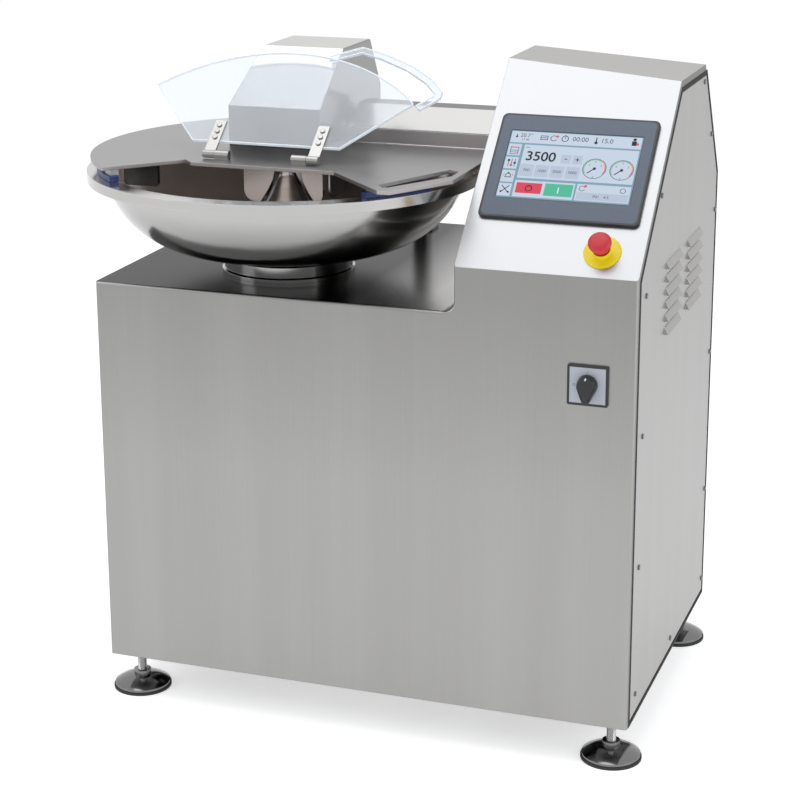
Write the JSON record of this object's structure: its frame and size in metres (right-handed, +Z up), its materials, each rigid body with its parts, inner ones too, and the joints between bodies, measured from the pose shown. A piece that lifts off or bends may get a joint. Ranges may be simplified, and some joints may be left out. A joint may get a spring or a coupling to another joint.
{
  "type": "meat bowl cutter",
  "caption": "Floor-standing bowl cutter: belt-driven bowl and knife shaft in a stainless cabinet, with a hinged lid, clear splash cover and sloping control console.",
  "frame": {"origin": "on the floor, under the middle of the overall width and depth", "axes": "+Z up, +X to the operator's right along the front, +Y to the back; the front faces -Y"},
  "size_m": [1.0084, 0.7854, 1.1261],
  "materials": {
    "brushed_stainless": "brushed",
    "polished_stainless": "polished",
    "bright_stainless": "satin",
    "bearing_steel": "ground",
    "cast_aluminium": "satin",
    "motor_aluminium": "painted",
    "galvanised": "galvanised",
    "black_rubber": "matte",
    "black_plastic": "satin",
    "dark_plastic": "satin",
    "pale_plastic": "matte",
    "blue_plastic": "satin",
    "clear_plastic": "clear",
    "yellow_plastic": "gloss",
    "red_plastic": "gloss",
    "screen": "gloss"
  },
  "bodies": {
    "frame": {"body_shell": "brushed_stainless", "side_panel": "brushed_stainless", "side_panel_seal": "black_rubber", "panel_screws": "bright_stainless", "rear_panel": "brushed_stainless", "cable_gland": "black_plastic", "base_frame": "brushed_stainless", "foot_rubbers": "black_rubber", "foot_discs": "bright_stainless", "foot_stems": "bright_stainless", "foot_nuts": "bright_stainless", "bowl_bearing_housing": "polished_stainless", "shaft_seals": "black_rubber", "shaft_bearings": "bearing_steel", "drive_plate": "brushed_stainless", "bowl_gearmotor": "cast_aluminium", "bowl_belt": "black_rubber", "arm_housing": "polished_stainless", "arm_screws": "bright_stainless", "arm_cover": "polished_stainless", "knife_motor": "motor_aluminium", "knife_belt": "black_rubber", "hinge_posts": "brushed_stainless", "lid_pins": "bright_stainless", "screen_bezel": "dark_plastic", "screen_glass": "screen", "screen_case": "dark_plastic", "stop_plate": "yellow_plastic", "contact_blocks": "pale_plastic", "switch_frame": "black_plastic", "switch_plate": "bright_stainless", "electrical_board": "galvanised", "inverters": "dark_plastic", "contactors": "pale_plastic"},
    "bowl": {"bowl": "polished_stainless", "bowl_shaft": "bearing_steel", "bowl_wheel": "cast_aluminium"},
    "bowl_drive": {"gearmotor_pulley": "bearing_steel"},
    "knife_head": {"knife_shaft": "bearing_steel", "knives": "polished_stainless", "knife_spacers": "polished_stainless", "knife_nut": "polished_stainless", "knife_pulley": "cast_aluminium"},
    "knife_drive": {"motor_rotor": "bearing_steel", "motor_pulley": "cast_aluminium"},
    "lid": {"lid_plate": "polished_stainless", "knife_hood": "polished_stainless", "knife_guards": "polished_stainless", "bowl_scraper": "black_plastic", "rim_pads": "blue_plastic", "pad_blocks": "pale_plastic", "lid_knuckles": "brushed_stainless", "cover_sleeves": "bright_stainless", "cover_pins": "bright_stainless"},
    "splash": {"splash_cover": "clear_plastic", "cover_loop": "clear_plastic", "cover_straps": "bright_stainless", "cover_screws": "bright_stainless"},
    "stop": {"stop_button": "red_plastic"},
    "switch": {"switch_knob": "black_plastic"}
  },
  "joints": [
    {"name": "bowl_spin", "type": "hinge", "parent": "frame", "child": "bowl", "pos_m": [-0.16725, -0.05575, 0.752], "axis": [0, 0, 1], "continuous": true},
    {"name": "bowl_drive_spin", "type": "hinge", "parent": "frame", "child": "bowl_drive", "pos_m": [-0.29075, 0.17275, 0.6], "axis": [0, 0, 1], "continuous": true},
    {"name": "knife_spin", "type": "hinge", "parent": "frame", "child": "knife_head", "pos_m": [0.00925, 0.10025, 0.955], "axis": [1, 0, 0], "continuous": true},
    {"name": "knife_drive_spin", "type": "hinge", "parent": "frame", "child": "knife_drive", "pos_m": [0.00925, 0.10025, 0.235], "axis": [1, 0, 0], "continuous": true},
    {"name": "lid_lift", "type": "hinge", "parent": "frame", "child": "lid", "pos_m": [0.03425, 0.31475, 0.965], "axis": [-1, 0, 0], "range_deg": [0, 75]},
    {"name": "splash_turn", "type": "hinge", "parent": "lid", "child": "splash", "pos_m": [-0.17075, -0.17225, 0.967], "axis": [1, 0, 0], "range_deg": [0, 140]},
    {"name": "stop_press", "type": "slide", "parent": "frame", "child": "stop", "axis": [0, 0.6962, -0.7179], "range_m": [0, 0.004]},
    {"name": "switch_turn", "type": "hinge", "parent": "frame", "child": "switch", "pos_m": [0.41325, -0.24725, 0.654], "axis": [0, -1, 0], "range_deg": [0, 90]}
  ],
  "couplings": [
    {"joint": "bowl_drive_spin", "follows": "bowl_spin", "ratio": 2.4444},
    {"joint": "knife_drive_spin", "follows": "knife_spin", "ratio": 0.83333}
  ]
}
